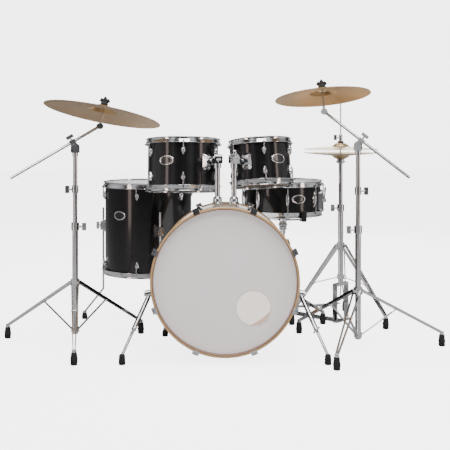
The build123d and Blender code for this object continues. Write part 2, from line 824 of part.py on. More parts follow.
# ---- Snare drum, its strainer and its stand ----
snare_place = spot(275, 791, 0)
snare_bottom = 521.0
snare_hub = 462.0
snare_edge = Plane(origin=snare_place + Vector(0, 0, snare_bottom))
snare = Drum("snare", snare_radius, snare_depth, snare_edge, 8, -87.0)
make_drum(snare, "lens")
snare_under = snare.ends()[1][0]

strainer_angle = -19.5
strainer_reach = 30.0
lever_pivot_height = 60.0

with BuildPart() as strainer:
    for angle, height in ((strainer_angle, 86), (strainer_angle + 180, 60)):
        seat = wall_plane(snare.base, angle, snare_radius, 56)
        with BuildSketch(seat.offset(-1.5)):
            RectangleRounded(34, height, 5)
        with BuildSketch(seat.offset(13)):
            RectangleRounded(28, height - 8, 5)
        loft()
    seat = wall_plane(snare.base, strainer_angle, snare_radius, lever_pivot_height)
    for way in (-1, 1):
        cheek = seat.origin + seat.x_dir * (way * 7)
        bar(cheek + seat.z_dir * 10, cheek + seat.z_dir * strainer_reach, 4, 16, seat.x_dir)
    pin = seat.offset(strainer_reach - 7).origin
    rod(pin - seat.x_dir * 8, pin + seat.x_dir * 8, 2.5)
    with Locations(snare.base.location):
        Cylinder(snare_radius + gasket, snare_depth, align=(Align.CENTER, Align.CENTER, Align.MIN),
                 mode=Mode.SUBTRACT)
save(strainer, "snare_strainer")

with BuildPart() as lever:
    rod(pin - seat.x_dir * 4.6, pin + seat.x_dir * 4.6, 5.5)
    bar(pin, pin + seat.y_dir * 48 + seat.z_dir * 4, 9, 5, seat.x_dir)
    bar(pin + seat.y_dir * 40 + seat.z_dir * 3, pin + seat.y_dir * 62 + seat.z_dir * 5, 14, 6, seat.x_dir)
    rod(pin - seat.x_dir * 9, pin + seat.x_dir * 9, 2.5 + run_gap, Mode.SUBTRACT)
save(lever, "snare_throw_off_lever")

wire_count = 20
wire_pitch = 2.2
wire_length = 300.0
wire_radius = 0.6
with BuildPart() as wires:
    run = outward(snare_under, -strainer_angle)
    across = snare_under.z_dir.cross(run)
    level = snare_under.offset(film + 0.2 + wire_radius).origin
    for n in range(wire_count):
        line = level + across * ((n - (wire_count - 1) / 2) * wire_pitch)
        rod(line - run * (wire_length / 2), line + run * (wire_length / 2), wire_radius)
    for way in (-1, 1):
        plate = level + run * (way * wire_length / 2)
        bar(plate, plate + run * (way * 10), wire_count * wire_pitch + 4, 1.4, across)
save(wires, "snare_wires")

basket_angles = (-65.0, 55.0, 175.0)
basket_hook = snare_radius + hoop_flange + 8
basket_plate = 22.0
hook_width = 18.0
ledge_depth = 14.0
ledge = Vector(0, 0, snare_bottom + hoop_bottom)
with BuildPart() as basket:
    hub = snare_place + Vector(0, 0, snare_hub)
    plate = hub + Vector(0, 0, basket_plate)
    for angle in basket_angles:
        out = outward(snare.base, angle)
        side = Vector(-out.Y, out.X, 0)
        shelf = snare_place + ledge - Vector(0, 0, ledge_depth / 2)
        bar(plate + out * 12, shelf + out * snare_radius, 12, 8, side)
        shelf_start = shelf + out * (snare_radius - 2)
        bar(shelf_start, shelf + out * (basket_hook + 4), hook_width, ledge_depth, side)
        hook = snare_place + ledge + out * basket_hook
        bar(hook - Vector(0, 0, ledge_depth), hook + Vector(0, 0, 30), hook_width, 8, side)
    knuckle(hub, Vector(1, 0, 0))
    bar(hub, plate, knuckle_width, knuckle_width, Vector(1, 0, 0))
    rod(plate - Vector(0, 0, 4), plate + Vector(0, 0, 5), 24)
    knuckle_bore(hub, Vector(1, 0, 0))
save(basket, "snare_stand_basket")

snare_legs = (-16.0, 104.0, 224.0)
snare_reach = 191.0
snare_leg_collar = 150.0
snare_hub_low = 52.0
snare_column_top = 330.0
with BuildPart() as snare_base:
    column(snare_place, snare_hub_low - 16, snare_column_top, Vector(1, 0, 0))
    tripod(snare_place, snare_legs, snare_reach, snare_leg_collar, snare_hub_low, 0.42)
save(snare_base, "snare_stand_base")

with BuildPart() as snare_tube:
    rod(snare_place + Vector(0, 0, snare_column_top - 150), hub - Vector(0, 0, 24), tube_radius)
    fork(hub, Vector(1, 0, 0), Vector(0, 0, 1), tube_radius + 3, 42)
save(snare_tube, "snare_stand_tube")


# ---- Pedals ----
board_length = 265.0
board_heel_width = 64.0
board_toe_width = 80.0
board_sheet = 6.0
heel_height = 24.0
heel_pin = 4.0
barrel_half = 24.0
plate_sheet = 5.0


def footboard(heel, towards_toe, rise):
    """Pedal board on a hinge barrel at the heel, sloping up to its toe."""
    side = towards_toe.cross(Vector(0, 0, 1))
    slope = (towards_toe * board_length + Vector(0, 0, rise)).normalized()
    lift = side.cross(slope)
    with BuildSketch(Plane(origin=heel + slope * 15 + lift * 2, x_dir=slope, z_dir=lift)) as outline:
        with BuildLine():
            Polyline((0, board_heel_width / 2), (board_length, board_toe_width / 2),
                     (board_length, -board_toe_width / 2), (0, -board_heel_width / 2), close=True)
        make_face()
        fillet(outline.vertices(), 12)
    extrude(outline.sketch, amount=board_sheet)
    rod(heel - side * barrel_half, heel + side * barrel_half, 8)
    bar(heel, heel + slope * 28, 2 * barrel_half, 7, side)
    rod(heel - side * 30, heel + side * 30, heel_pin + run_gap, Mode.SUBTRACT)


def heel_block(heel, towards_toe):
    """Block on the base plate with two ears and the pin that the footboard's barrel turns on."""
    side = towards_toe.cross(Vector(0, 0, 1))
    floor = Vector(heel.X, heel.Y, 0)
    for way in (-1, 1):
        ear = floor + side * (way * (barrel_half + free_gap + 3.5))
        bar(ear, ear + Vector(0, 0, heel_height + 8), 7, 20, side)
    end = side * (barrel_half + free_gap + 7)
    rod(heel - end, heel + end, heel_pin)


# ---- Bass drum pedal ----
hoop_back = bass_depth + 2 * wood_face
jaw_front = hoop_back - 15.4
jaw_back = jaw_front + 27.0
jaw_height = 25.5
plate_back = hoop_back + 307.6
pedal_post = hoop_back + 56.6
pedal_axle_height = 125.0
pedal_heel = spot(0, plate_back - 11, heel_height)
pedal_axle = spot(0, pedal_post, pedal_axle_height)
forward = Vector(0, -1, 0)
pedal_rise = 58.0
upright_x = 48.0
upright_sheet = 7.0
bearing_radius = 13.0
plate_width = 66.0
jaw_width = 32.0
beater_length = 165.0
beater_rest = 25.0
beater_radius = 26.0

with BuildPart() as pedal_frame:
    across = Vector(1, 0, 0)
    plate_front = spot(0, jaw_front - 6, plate_sheet / 2)
    bar(plate_front, spot(0, plate_back, plate_sheet / 2), plate_width, plate_sheet, across)
    bar(spot(0, pedal_post - 15, plate_sheet / 2), spot(0, pedal_post + 15, plate_sheet / 2),
        2 * upright_x + upright_sheet, plate_sheet, across)
    for way in (-1, 1):
        upright = spot(way * upright_x, pedal_post, 0)
        bearing = upright + Vector(0, 0, pedal_axle_height)
        bar(upright, bearing, upright_sheet, 2 * bearing_radius, across)
        rod(bearing - across * (upright_sheet / 2), bearing + across * (upright_sheet / 2), bearing_radius)
    bar(spot(0, jaw_back - 5, 0), spot(0, jaw_back - 5, jaw_height + 4.5), jaw_width, 10, across)
    bar(spot(0, jaw_front, jaw_height), spot(0, jaw_back, jaw_height), jaw_width, 9, across)
    heel_block(pedal_heel, forward)
    rod(pedal_axle - Vector(60, 0, 0), pedal_axle + Vector(60, 0, 0), pin_radius + run_gap, Mode.SUBTRACT)
save(pedal_frame, "bass_pedal_frame")

with BuildPart() as pedal_board:
    footboard(pedal_heel, forward, pedal_rise)
save(pedal_board, "bass_pedal_footboard")

with BuildPart() as beater:
    shaft = Vector(0, sin(radians(beater_rest)), cos(radians(beater_rest)))
    strike = Vector(0, -cos(radians(beater_rest)), sin(radians(beater_rest)))
    head = pedal_axle + shaft * beater_length
    rod(pedal_axle - Vector(upright_x + 6, 0, 0), pedal_axle + Vector(upright_x + 6, 0, 0), pin_radius)
    rod(pedal_axle - Vector(6, 0, 0), pedal_axle + Vector(6, 0, 0), 17)
    rod(pedal_axle, head - shaft * 6, 4)
    turn(Plane(head - strike * 20, z_dir=strike), (0, 0), (12, 0), (18, 6), (18, 16.5),
         (beater_radius, 17.5), (beater_radius, 36), (beater_radius - 4, 40), (0, 40))
save(beater, "bass_pedal_beater")

# ---- Hi-hat stand, its pedal and cymbals ----
hat_place = spot(550, 800, 0)
hat_legs = (198.0, 318.0, 78.0)
hat_reach = 250.0
hat_collar = 360.0
hat_hub = 212.0
hat_column_top = 556.0
hat_frame_top = 184.0
hat_direction = Vector(cos(radians(138)), sin(radians(138)), 0)
hat_side = hat_direction.cross(Vector(0, 0, 1))
hat_heel = hat_place + hat_direction * 300 + Vector(0, 0, heel_height)
hat_rod_radius = 3.2
hat_bore = hat_rod_radius + 1.2
hat_edge_low = 801.0
hat_edge_high = 818.0
hat_radius = 177.8
hat_bell_radius = 44.0
hat_bow = 13.0
hat_bell = 18.0
frame_half = 46.0
hat_rise = 48.0

with BuildPart() as hat_base:
    column(hat_place, hat_frame_top - 6, hat_column_top, Vector(-1, 0, 0))
    tripod(hat_place, hat_legs, hat_reach, hat_collar, hat_hub, 0.55)
    for way in (-1, 1):
        post_foot = hat_place + hat_side * (way * frame_half)
        bar(post_foot, post_foot + Vector(0, 0, hat_frame_top), 6, 24, hat_side)
    top = hat_place + Vector(0, 0, hat_frame_top - 6)
    bar(top - hat_side * (frame_half + 3), top + hat_side * (frame_half + 3), 12, 24, Vector(0, 0, 1))
    sole = hat_place + Vector(0, 0, plate_sheet / 2)
    bar(sole - hat_side * (frame_half + 3), sole + hat_side * (frame_half + 3), plate_sheet, 24,
        Vector(0, 0, 1))
    bar(sole, sole + hat_direction * 312, 66, plate_sheet, hat_side)
    heel_block(hat_heel, hat_direction * -1)
    rod(hat_place + Vector(0, 0, hat_frame_top - 40), hat_place + Vector(0, 0, hat_frame_top + 20), 5,
        Mode.SUBTRACT)
save(hat_base, "hihat_stand_base")

with BuildPart() as hat_tube:
    level = Plane(origin=hat_place)
    cup = hat_edge_low - hat_bow - hat_bell - felt_height
    turn(
        level,
        (6, hat_column_top - 160), (tube_radius, hat_column_top - 160), (tube_radius, cup - 14),
        (felt_radius + 8, cup - 6), (felt_radius + 8, cup - 2), (felt_radius + 2, cup - 2),
        (felt_radius + 2, cup + felt_height - 0.2), (cymbal_neck, cup + felt_height - 0.2),
        (cymbal_neck, cup + felt_height + 14), (hat_bore, cup + felt_height + 14), (hat_bore, cup - 14),
        (6, cup - 20),
    )
save(hat_tube, "hihat_stand_tube")

with BuildPart() as hat_bottom:
    cymbal(Plane(hat_place + Vector(0, 0, hat_edge_low + cymbal_sheet), x_dir=(1, 0, 0), z_dir=(0, 0, -1)),
           hat_radius, hat_bell_radius, hat_bow, hat_bell)
save(hat_bottom, "hihat_bottom_cymbal")

with BuildPart() as hat_top:
    hat_level = Plane(origin=hat_place + Vector(0, 0, hat_edge_high))
    cymbal(hat_level, hat_radius, hat_bell_radius, hat_bow, hat_bell)
save(hat_top, "hihat_top_cymbal")

with BuildPart() as hat_rod:
    level = Plane(origin=hat_place)
    bell_under = hat_edge_high + hat_bow + hat_bell
    bell_over = bell_under + cymbal_sheet
    rod(hat_place + Vector(0, 0, 112), hat_place + Vector(0, 0, 1044), hat_rod_radius)
    turn(level, (0, bell_under - 9), (11, bell_under - 9), (11, bell_under - 5.2), (14, bell_under - 5.2),
         (14, bell_under - 3.2), (cymbal_neck, bell_under - 0.2), (cymbal_neck, bell_over + 0.2),
         (14, bell_over + 0.2), (15, bell_over + 6), (9, bell_over + 6), (9, bell_over + 36),
         (7, bell_over + 40), (0, bell_over + 40))
    wing = hat_place + Vector(0, 0, bell_over + 24)
    rod(wing, wing + Vector(-20, 0, 0), 4)
    bar(wing + Vector(-18, 0, 0), wing + Vector(-32, 0, 0), 26, 5, Vector(0, 0, 1))
save(hat_rod, "hihat_pull_rod")

with BuildPart() as hat_board:
    footboard(hat_heel, hat_direction * -1, hat_rise)
save(hat_board, "hihat_footboard")

# ---- Rubber feet of every stand and leg ----
with BuildPart() as feet:
    tripods = [(stand.foot, stand.leg_angles, stand.reach) for stand in stands]
    tripods += [(snare_place, snare_legs, snare_reach), (hat_place, hat_legs, hat_reach)]
    for centre, angles, reach in tripods:
        for angle in angles:
            floor = leg_end(centre, angle, reach) - Vector(0, 0, foot_height)
            turn(Plane(origin=floor), (0, 0), (foot_radius - 3, 0), (foot_radius, 5), (foot_radius + 1, 24),
                 (ferrule_radius + 2, foot_height), (0, foot_height))
    for angle in leg_angles:
        floor = leg_foot(angle) - Vector(0, 0, leg_foot_height)
        turn(Plane(origin=floor), (0, 0), (foot_radius - 2, 0), (foot_radius, 4),
             (ferrule_radius + 1, leg_foot_height), (0, leg_foot_height))
save(feet, "rubber_feet")
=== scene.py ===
# %% [markdown]
# # An acoustic drum kit
# The frame gives every tube, casting and shell at its real size and place. This lesson gives them
# their finishes, and remakes by hand the pieces whose shape the eye reads first: shells, hoops,
# heads, lugs, cymbals and rubber feet.

# %% Load the frame
import json
from math import cos, pi, radians, sin

import bpy
import numpy as np
from mathutils import Matrix, Vector


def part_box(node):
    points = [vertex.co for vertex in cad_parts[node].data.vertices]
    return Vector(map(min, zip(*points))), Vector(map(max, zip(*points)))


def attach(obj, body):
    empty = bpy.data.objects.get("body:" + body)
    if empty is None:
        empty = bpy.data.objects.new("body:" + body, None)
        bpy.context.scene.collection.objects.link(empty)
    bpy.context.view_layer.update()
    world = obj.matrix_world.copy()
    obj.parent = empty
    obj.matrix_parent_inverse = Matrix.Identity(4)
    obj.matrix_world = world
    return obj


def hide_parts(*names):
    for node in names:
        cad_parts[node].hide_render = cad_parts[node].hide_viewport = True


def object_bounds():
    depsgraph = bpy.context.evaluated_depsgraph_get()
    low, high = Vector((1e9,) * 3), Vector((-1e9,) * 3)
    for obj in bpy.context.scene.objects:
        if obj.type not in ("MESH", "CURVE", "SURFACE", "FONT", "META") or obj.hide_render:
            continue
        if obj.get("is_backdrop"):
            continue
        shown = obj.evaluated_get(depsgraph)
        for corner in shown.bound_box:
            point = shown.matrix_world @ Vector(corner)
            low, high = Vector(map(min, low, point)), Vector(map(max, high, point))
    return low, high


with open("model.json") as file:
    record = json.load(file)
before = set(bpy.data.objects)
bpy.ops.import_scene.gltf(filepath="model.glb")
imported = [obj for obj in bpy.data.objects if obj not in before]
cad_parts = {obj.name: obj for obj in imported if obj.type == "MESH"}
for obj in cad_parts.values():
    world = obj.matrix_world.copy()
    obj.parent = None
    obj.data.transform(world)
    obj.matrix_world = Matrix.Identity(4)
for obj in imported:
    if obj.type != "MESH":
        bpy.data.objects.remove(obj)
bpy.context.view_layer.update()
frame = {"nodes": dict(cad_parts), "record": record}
nodes = frame["nodes"]

# %% [markdown]
# A camera is a place, a direction and a lens. This one stands a few steps in front of the bass
# drum, at chest height, and looks straight ahead.

# %% Camera
bass_low, bass_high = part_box("bass_drum_hoops")
camera_distance = 3.6
camera_height = 0.933
camera = bpy.data.objects.new("camera", bpy.data.cameras.new("camera"))
bpy.context.scene.collection.objects.link(camera)
camera.location = ((bass_low.x + bass_high.x) / 2, bass_low.y - camera_distance, camera_height)
camera.rotation_euler = (pi / 2, 0, 0)
camera.data.lens = 74.2
camera.data.sensor_width = 36
camera.data.shift_y = -0.222
camera.data.clip_end = 100
bpy.context.scene.camera = camera
print("camera", camera.location)

# %% [markdown]
# Chrome shows only what stands round it. The camera sees a plain white backdrop instead of the
# bands.

# %% World and lamps
world = bpy.data.worlds.new("studio")
bpy.context.scene.world = world
world.use_nodes = True
sky = world.node_tree
sky.nodes.clear()


def sky_node(kind, **inputs):
    """A node of the world's tree, with values or links for its inputs."""
    node = sky.nodes.new("ShaderNode" + kind)
    for name, value in inputs.items():
        if isinstance(value, bpy.types.NodeSocket):
            sky.links.new(value, node.inputs[name])
        else:
            node.inputs[name].default_value = value
    return node


direction = sky_node("TexCoord").outputs["Generated"]
parts = sky_node("SeparateXYZ", Vector=direction)
spread = sky_node("MapRange", Value=parts.outputs["X"])
spread.inputs["From Min"].default_value = -1.0
bands = sky_node("ValToRGB", Fac=spread.outputs["Result"])
band_stops = ((0.0, 0.9), (0.10, 0.03), (0.17, 0.02), (0.25, 0.8), (0.33, 0.10), (0.48, 0.04), (0.60, 0.10),
              (0.74, 0.8), (0.84, 0.02), (0.91, 0.03), (1.0, 0.9))
ramp = bands.color_ramp.elements
for across, level in band_stops[1:-1]:
    ramp.new(across)
for stop, (across, level) in zip(ramp, band_stops):
    stop.position = across
    stop.color = (level, level, level * 1.02, 1)
room = sky_node("Background", Color=bands.outputs["Color"], Strength=0.8)
backdrop = sky_node("Background", Color=(1, 1, 1, 1), Strength=4.6)
seen = sky_node("LightPath").outputs["Is Camera Ray"]
choice = sky_node("MixShader", Fac=seen)
sky.links.new(room.outputs[0], choice.inputs[1])
sky.links.new(backdrop.outputs[0], choice.inputs[2])
world_output = sky.nodes.new("ShaderNodeOutputWorld")
sky.links.new(choice.outputs[0], world_output.inputs["Surface"])

middle = Vector((0, 0, 0.6))


def lamp(name, place, width, height, power, color=(1, 1, 1)):
    light = bpy.data.lights.new(name, "AREA")
    light.shape = "RECTANGLE"
    light.size = width
    light.size_y = height
    light.energy = power
    light.color = color
    box = bpy.data.objects.new(name, light)
    bpy.context.scene.collection.objects.link(box)
    box.location = place
    box.rotation_euler = (middle - Vector(place)).to_track_quat("-Z", "Y").to_euler()
    return box


lamp("overhead", (0, -0.6, 3.6), 3.4, 2.6, 120)
lamp("left_strip", (-3.2, -2.6, 1.3), 0.6, 2.6, 24, (1.0, 0.80, 0.72))
lamp("right_strip", (3.4, -1.9, 1.3), 0.6, 2.6, 24, (1.0, 0.80, 0.72))
lamp("front_fill", (0.4, -4.2, 4.4), 2.8, 1.6, 110)
lamp("rear_fill", (0.6, 3.6, 2.0), 2.6, 1.6, 60)

# %% [markdown]
# The floor is a pale sheet that runs far past the picture.

# %% Floor
bpy.ops.object.select_all(action="DESELECT")
bpy.ops.mesh.primitive_plane_add(size=30, location=(0, 0, -0.0005))
floor = bpy.context.object
floor.name = "floor"
floor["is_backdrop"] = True

# %% [markdown]
# Shader maths reads best as plain sums. Shade wraps one output socket: adding or multiplying two
# of them adds a Math node, and Shade.node makes any other node.


# %% Shader sums
class Shade:
    """One output socket of the material being made, with arithmetic that adds Math nodes."""

    tree = None

    def __init__(self, socket):
        self.socket = socket

    @classmethod
    def node(cls, kind, settings, inputs, output=0):
        """A node with its settings, the values or links of its inputs, and the output to use."""
        node = cls.tree.nodes.new("ShaderNode" + kind)
        for name, value in settings.items():
            if name == "stops":
                elements = node.color_ramp.elements
                for _ in value[2:]:
                    elements.new(0.5)
                for stop, (place, color) in zip(elements, value):
                    stop.position = place
                    stop.color = (*color, 1)
            else:
                setattr(node, name, value)
        for name, value in inputs.items():
            if isinstance(value, Shade):
                cls.tree.links.new(value.socket, node.inputs[name])
            else:
                node.inputs[name].default_value = value
        return cls(node.outputs[output])

    @classmethod
    def math(cls, operation, *values):
        return cls.node("Math", {"operation": operation}, dict(enumerate(values)))

    def __add__(self, other):
        return Shade.math("ADD", self, other)

    def __mul__(self, other):
        return Shade.math("MULTIPLY", self, other)

    def __lt__(self, other):
        return Shade.math("LESS_THAN", self, other)

    __radd__ = __add__
    __rmul__ = __mul__

    def sin(self):
        return Shade.math("SINE", self)


def noise(scale, vector, detail=3.0):
    """Soft noise from 0 to 1 on a vector."""
    return Shade.node("TexNoise", {}, {"Vector": vector, "Scale": scale, "Detail": detail})


def ramp_color(value, *stops):
    """A colour ramp read at a value; each stop is a place and a colour."""
    return Shade.node("ValToRGB", {"stops": stops}, {"Fac": value})


def bump(height, depth, strength=1.0):
    """Normal of a surface raised by a height from 0 to 1, times a depth in metres."""
    return Shade.node("Bump", {}, {"Height": height, "Distance": depth, "Strength": strength})


def place():
    """Object coordinates, in metres."""
    return Shade.node("TexCoord", {}, {}, "Object")


def turned_place(matrix):
    """Object coordinates seen from a turned piece's own frame: Z along its axis."""
    inside = matrix.inverted()
    angles = inside.to_euler("XYZ")
    return Shade.node("Mapping", {"vector_type": "POINT"},
                      {"Vector": place(), "Location": inside.to_translation(), "Rotation": angles})


def split(vector):
    """The X, Y and Z of a vector."""
    node = Shade.node("SeparateXYZ", {}, {"Vector": vector})
    return [Shade(node.socket.node.outputs[n]) for n in range(3)]


def vector(x, y, z):
    return Shade.node("CombineXYZ", {}, {"X": x, "Y": y, "Z": z})


def surface(name, **inputs):
    """Finish the material being made with a Principled shader; _ in an input's name is a space."""
    named = {key.replace("_", " "): value for key, value in inputs.items()}
    shader = Shade.node("BsdfPrincipled", {}, named)
    output = Shade.tree.nodes.new("ShaderNodeOutputMaterial")
    Shade.tree.links.new(shader.socket, output.inputs["Surface"])
    return bpy.data.materials[name]


def start(name):
    """Begin a material: the nodes made after this call are its own."""
    made = bpy.data.materials.new(name)
    made.use_nodes = True
    Shade.tree = made.node_tree
    Shade.tree.nodes.clear()
    return name


# %% [markdown]
# Chrome plate is a mirror, and what tells it from glass is the faint unevenness left by polishing:
# a cloud of slightly duller patches and a ripple too small to see as a shape. Steel rods and
# wires are plated more thinly, so they are a little darker and rougher.

# %% Chrome and steel
def plate(name, color, dull, shine):
    """Plated metal whose roughness drifts between shine and dull."""
    start(name)
    cloud = noise(38, place())
    smear = noise(260, place(), 2)
    rough = shine + (dull - shine) * cloud
    return surface(name, Base_Color=ramp_color(cloud, (0.3, color), (0.7, [c * 0.93 for c in color])),
                   Metallic=1.0, Roughness=rough, Normal=bump(smear, 0.00004, 0.25))


chrome = plate("chrome", (0.64, 0.65, 0.67), 0.11, 0.04)
steel = plate("plated_steel", (0.52, 0.53, 0.55), 0.28, 0.14)
cast_board = plate("cast_board", (0.42, 0.42, 0.44), 0.42, 0.26)

# %% [markdown]
# Rubber feet, felts and the film of the heads are dull. Rubber has a fine moulded grain, felt is a
# mat of fibres, and a coated head has a sandy spray that brushes can scratch. Both heads of the
# bass drum glow a little, which stands for the light that comes through the film.

# %% Rubber, felt and heads
start("floor_paper")
lit = Shade.node("BsdfPrincipled", {}, {"Base Color": (0.9, 0.9, 0.9, 1), "Roughness": 0.8,
                                       "Emission Color": (1, 1, 1, 1), "Emission Strength": 4.2})
dim = Shade.node("BsdfDiffuse", {}, {"Color": (0.45, 0.45, 0.46, 1)})
seen = Shade.node("LightPath", {}, {}, "Is Camera Ray")
paper = Shade.node("MixShader", {}, {0: seen, 1: dim, 2: lit})
output = Shade.tree.nodes.new("ShaderNodeOutputMaterial")
Shade.tree.links.new(paper.socket, output.inputs["Surface"])
floor.data.materials.append(bpy.data.materials["floor_paper"])

start("rubber")
grain = noise(900, place(), 4)
tone = ramp_color(noise(30, place()), (0.3, (0.010,) * 3), (0.8, (0.022,) * 3))
rubber = surface("rubber", Base_Color=tone, Roughness=0.42 + 0.2 * grain, Normal=bump(grain, 0.0002, 0.5))

start("felt")
fibre = noise(1500, place(), 5)
felt = surface("felt", Base_Color=ramp_color(fibre, (0.3, (0.008,) * 3), (0.75, (0.05,) * 3)), Roughness=0.95,
               Sheen_Weight=0.4, Normal=bump(fibre, 0.0008, 0.7))

start("beater_felt")
fibre = noise(1300, place(), 5)
tone = ramp_color(fibre, (0.3, (0.24, 0.23, 0.22)), (0.75, (0.5, 0.48, 0.46)))
beater_felt = surface("beater_felt", Base_Color=tone, Roughness=0.95, Sheen_Weight=0.4,
                      Normal=bump(fibre, 0.0008, 0.7))

start("coated_film")
spray = noise(1400, place(), 3)
cloud = noise(5, place(), 2)
tone = ramp_color(cloud, (0.3, (0.84, 0.84, 0.83)), (0.7, (0.90, 0.90, 0.89)))
coated_film = surface("coated_film", Base_Color=tone, Roughness=0.5 + 0.18 * spray,
                      Normal=bump(spray, 0.0002, 0.5))

start("batter_film")
spray = noise(1400, place(), 3)
tone = ramp_color(noise(5, place(), 2), (0.3, (0.84,) * 3), (0.7, (0.90,) * 3))
batter_film = surface("batter_film", Base_Color=tone, Roughness=0.5 + 0.18 * spray,
                      Normal=bump(spray, 0.0002, 0.5),
                      Emission_Color=(1.0, 0.99, 0.97, 1), Emission_Strength=1.2)

start("front_film")
cloud = noise(3.5, place(), 2)
tone = ramp_color(cloud, (0.25, (0.86, 0.83, 0.81)), (0.75, (0.90, 0.87, 0.86)))
front_film = surface("front_film", Base_Color=tone, Roughness=0.26 + 0.08 * noise(60, place()),
                     Normal=bump(noise(9, place()), 0.0008, 0.2),
                     Emission_Color=(1.0, 0.96, 0.94, 1), Emission_Strength=0.35)

start("clear_film")
cloud = noise(12, place(), 2)
tone = ramp_color(cloud, (0.3, (0.86, 0.80, 0.68)), (0.7, (0.92, 0.87, 0.76)))
clear_film = surface("clear_film", Base_Color=tone, Roughness=0.10 + 0.1 * cloud, Alpha=0.24 + 0.12 * cloud)
print("materials", len(bpy.data.materials))

# %% [markdown]
# A covered shell is a gloss black sheet on maple ply. The black is nearly neutral, and a clear coat
# over it carries the soft highlights, with a ripple as slight as orange peel.

# %% Shell covering, ply and maple hoop
start("black_covering")
depth = noise(14, place(), 2)
peel = noise(220, place(), 2)
covering = surface("black_covering", Roughness=0.30 + 0.08 * depth, Coat_Weight=0.7,
                   Coat_Roughness=0.10, Specular_IOR_Level=0.2,
                   Base_Color=ramp_color(depth, (0.3, (0.005, 0.005, 0.006)), (0.7, (0.010, 0.009, 0.010))),
                   Normal=bump(peel, 0.00006, 0.15))


def wood(name, matrix, dark, light, shade_radius):
    """Maple with its grain round the axis of a drum, painted dark brown within a given radius of the axis,
    which stands for painted shade on a hoop's inner wall.
    """
    start(name)
    x, y, z = split(turned_place(matrix))
    radius = Shade.math("SQRT", x * x + y * y)
    around = Shade.math("ARCTAN2", x, y)
    fibres = noise(1.0, vector(around * 9, radius * 700, z * 420), 5)
    figure = noise(1.0, vector(around * 3, radius * 60, z * 45), 3)
    tone = 0.65 * fibres + 0.35 * figure
    bare = ramp_color(tone, (0.30, dark), (0.52, [(a + b) / 2 for a, b in zip(dark, light)]), (0.72, light))
    # Painted shade: everything closer to the axis than the given radius is coloured dark brown, for the
    # shadowed inner wall of the hoop.
    painted_shade = radius < shade_radius
    colour = Shade.node("Mix", {"data_type": "RGBA"}, {0: painted_shade, 6: bare, 7: (0.20, 0.075, 0.025, 1)}, 2)
    return surface(name, Base_Color=colour, Roughness=0.30 + 0.2 * fibres, Coat_Weight=0.6,
                   Coat_Roughness=0.12, Normal=bump(fibres, 0.0002, 0.25))


# %% [markdown]
# A cymbal is cast bronze, hammered and then turned on a lathe, which leaves a fine spiral groove
# from edge to bell. The rings are drawn from the distance to the axis, so they stay round
# whichever way the cymbal leans. Wide bands catch the light differently from their neighbours.


# %% Cymbal bronze
def bronze(name, matrix, dark, light):
    """Lathe-turned bronze for a cymbal with its axis on the matrix's Z."""
    start(name)
    x, y, z = split(turned_place(matrix))
    radius = Shade.math("SQRT", x * x + y * y)
    groove = (radius * (2 * pi / 0.0022)).sin() * 0.5 + 0.5
    band = noise(1.0, vector(radius * 130, 0.0, 0.0), 4)
    hammered = noise(55, place(), 2)
    patina = noise(6, place(), 3)
    tone = 0.45 * band + 0.35 * patina + 0.2 * groove
    relief = groove * 0.5 + band * 0.6 + hammered
    return surface(name, Base_Color=ramp_color(tone, (0.3, dark), (0.7, light)), Metallic=1.0,
                   Roughness=0.24 + 0.16 * band, Normal=bump(relief, 0.0006, 0.32))


# %% [markdown]
# The frame's nodes say where everything is. A turned piece, such as a shell or a cymbal, has one
# axis, and the spread of its surface finds it. A node of many equal pieces, such as the lugs, is
# taken apart into its solids, and each solid tells where one copy goes.


# %% Read places from the frame
def triangles(node):
    """Corner points of a node's mesh, and the three corners of each triangle."""
    mesh = nodes[node].data
    mesh.calc_loop_triangles()
    points = np.array([corner.co for corner in mesh.vertices])
    return points, np.array([face.vertices for face in mesh.loop_triangles])


def turned_frame(node):
    """Matrix with Z on a turned piece's axis and its origin in the middle, the radius and the half height."""
    points, faces = triangles(node)
    corners = points[faces]
    area = np.linalg.norm(np.cross(corners[:, 1] - corners[:, 0], corners[:, 2] - corners[:, 0]), axis=1)
    halfway = ((corners + np.roll(corners, 1, axis=1)) / 2).reshape(-1, 3)
    weight = np.repeat(area, 3)[:, None]
    centre = (halfway * weight).sum(0) / weight.sum()
    values, vectors = np.linalg.eigh(((halfway - centre) * weight).T @ (halfway - centre))
    odd = 0 if values[1] - values[0] > values[2] - values[1] else 2
    axis = Vector(vectors[:, odd])
    if axis.z < 0:
        axis.negate()
    side = (Vector((1, 0, 0)) - axis * axis.x).normalized()
    heights = (points - centre) @ np.array(axis)
    radius = np.linalg.norm(points - centre - np.outer(heights, axis), axis=1).max()
    middle = Vector(centre) + axis * float((heights.max() + heights.min()) / 2)
    matrix = Matrix((side, axis.cross(side), axis)).transposed().to_4x4()
    matrix.translation = middle
    return matrix, float(radius), float(heights.max() - heights.min()) / 2


def solids(node):
    """The corner points of each separate solid in a node."""
    points, faces = triangles(node)
    corners, same = np.unique(points.round(6), axis=0, return_inverse=True)
    parent = list(range(len(corners)))

    def root(n):
        while parent[n] != n:
            parent[n] = parent[parent[n]]
            n = parent[n]
        return n

    for a, b, c in same.ravel()[faces]:
        parent[root(a)] = root(b)
        parent[root(c)] = root(b)
    roots = np.array([root(n) for n in range(len(corners))])
    return [corners[roots == n] for n in np.unique(roots)]


def middles(node, matrix):
    """The middle of each solid of a node, in a turned piece's own frame."""
    inside = np.array(matrix.inverted())
    found = []
    for solid in solids(node):
        local = solid @ inside[:3, :3].T + inside[:3, 3]
        found.append(Vector((local.min(0) + local.max(0)) / 2))
    return found


drum_bodies = {
    "bass_drum": "kit", "floor_tom": "kit",
    "tom_left": "tom_left", "tom_right": "tom_right", "snare": "snare",
}
drum_frames = {name: turned_frame(f"{name}_shell") for name in drum_bodies}
for name, (matrix, radius, half) in drum_frames.items():
    print(name, "radius", round(radius, 4), "depth", round(2 * half, 4))

